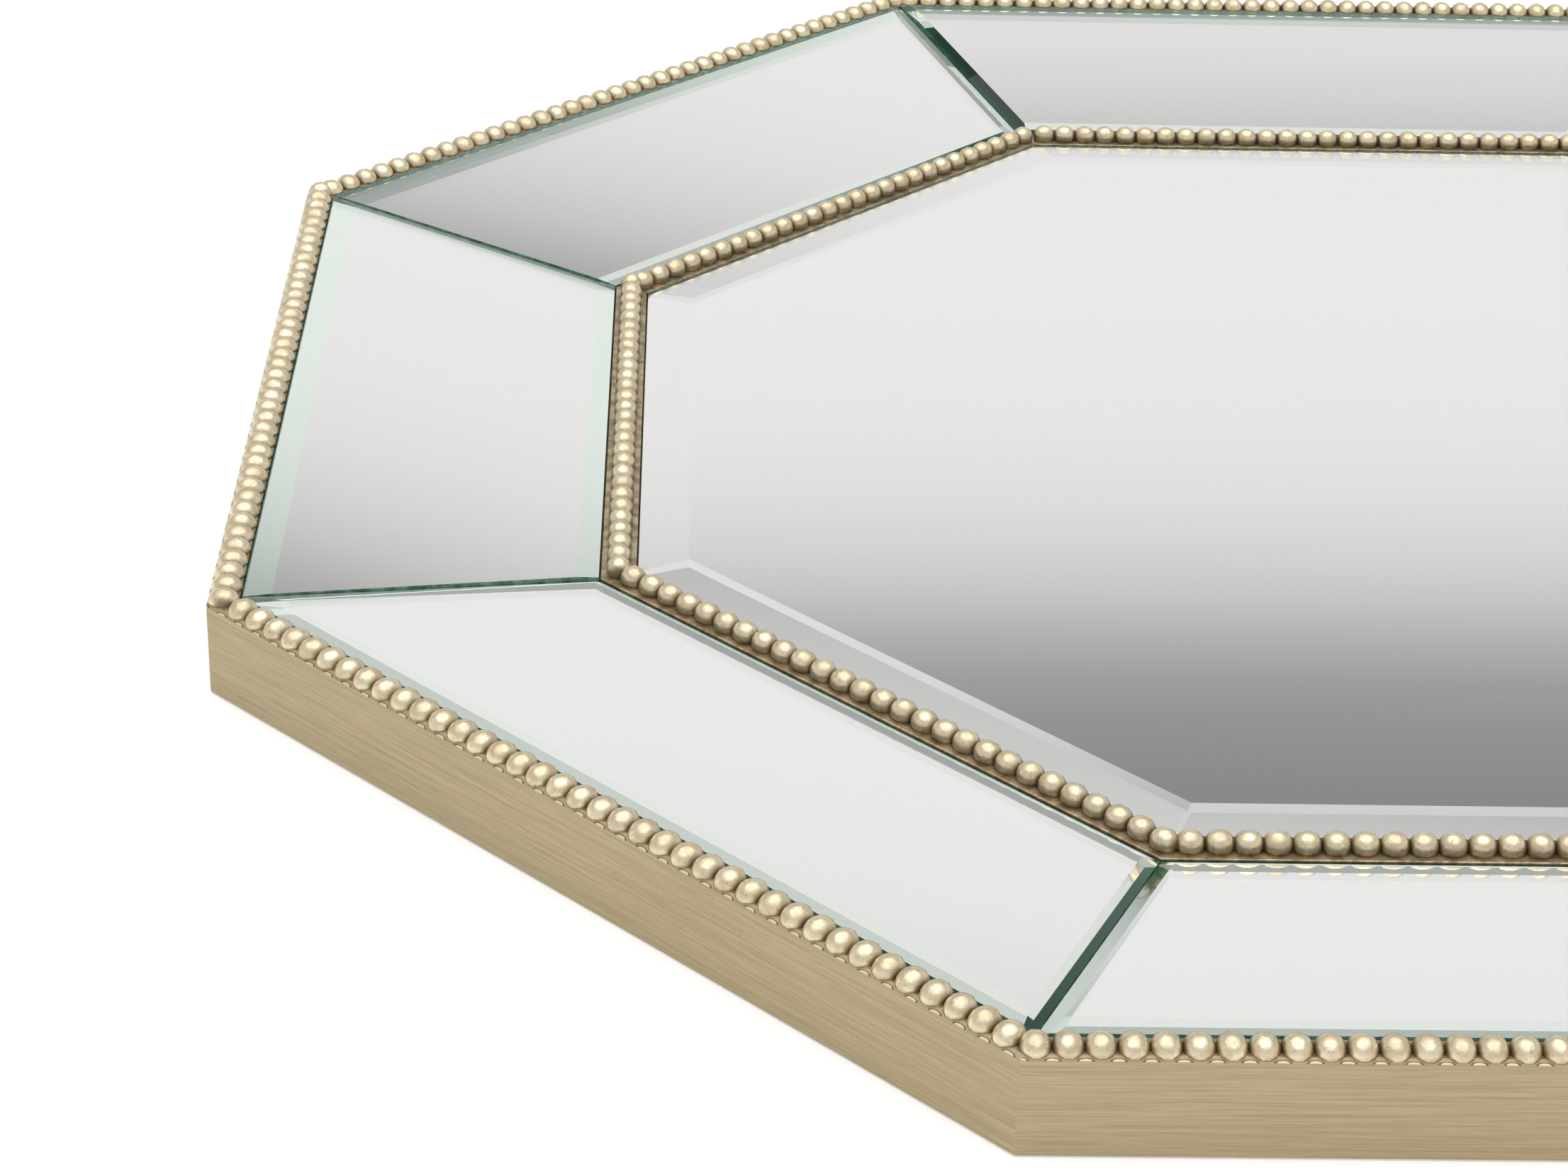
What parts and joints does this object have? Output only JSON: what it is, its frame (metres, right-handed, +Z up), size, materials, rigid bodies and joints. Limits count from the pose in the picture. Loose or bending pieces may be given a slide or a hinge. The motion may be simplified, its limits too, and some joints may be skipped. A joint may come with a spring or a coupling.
{
  "type": "mirrored vanity tray",
  "caption": "Octagonal vanity tray with a beaded champagne frame, a dished ring of bevelled mirrors and a flat bevelled centre mirror.",
  "frame": {"origin": "on the surface that the tray stands on, under the middle of the octagon", "axes": "+Z up, out of the mirrors; -Y towards the side of the octagon nearest the user; +X to the right along that side"},
  "size_m": [0.4566, 0.4566, 0.0204],
  "materials": {
    "champagne_leaf": "brushed champagne paint on the walls, antiqued metal leaf on the beads",
    "mirror_glass": "clear silvered float glass with ground and polished bevels",
    "fibreboard": "raw medium-density fibreboard",
    "hardwood": "planed, unfinished",
    "foam_pad": "matt closed-cell foam",
    "felt": "dark brown needled felt",
    "zinc_steel": "bright zinc plate"
  },
  "bodies": {
    "root": {"felt_underlay": "felt", "base_board": "fibreboard", "mirror_pad": "foam_pad", "centre_mirror": "mirror_glass", "frame_rail_1": "champagne_leaf", "frame_rail_2": "champagne_leaf", "frame_rail_3": "champagne_leaf", "frame_rail_4": "champagne_leaf", "frame_rail_5": "champagne_leaf", "frame_rail_6": "champagne_leaf", "frame_rail_7": "champagne_leaf", "frame_rail_8": "champagne_leaf", "corner_spline_1": "hardwood", "corner_spline_2": "hardwood", "corner_spline_3": "hardwood", "corner_spline_4": "hardwood", "corner_spline_5": "hardwood", "corner_spline_6": "hardwood", "corner_spline_7": "hardwood", "corner_spline_8": "hardwood", "ring_mirror_1": "mirror_glass", "ring_mirror_2": "mirror_glass", "ring_mirror_3": "mirror_glass", "ring_mirror_4": "mirror_glass", "ring_mirror_5": "mirror_glass", "ring_mirror_6": "mirror_glass", "ring_mirror_7": "mirror_glass", "ring_mirror_8": "mirror_glass", "panel_bed_1": "fibreboard", "panel_bed_2": "fibreboard", "panel_bed_3": "fibreboard", "panel_bed_4": "fibreboard", "panel_bed_5": "fibreboard", "panel_bed_6": "fibreboard", "panel_bed_7": "fibreboard", "panel_bed_8": "fibreboard", "bead_strip_1": "champagne_leaf", "bead_strip_2": "champagne_leaf", "bead_strip_3": "champagne_leaf", "bead_strip_4": "champagne_leaf", "bead_strip_5": "champagne_leaf", "bead_strip_6": "champagne_leaf", "bead_strip_7": "champagne_leaf", "bead_strip_8": "champagne_leaf", "base_screw_1": "zinc_steel", "base_screw_2": "zinc_steel", "base_screw_3": "zinc_steel", "base_screw_4": "zinc_steel", "base_screw_5": "zinc_steel", "base_screw_6": "zinc_steel", "base_screw_7": "zinc_steel", "base_screw_8": "zinc_steel"}
  },
  "joints": []
}
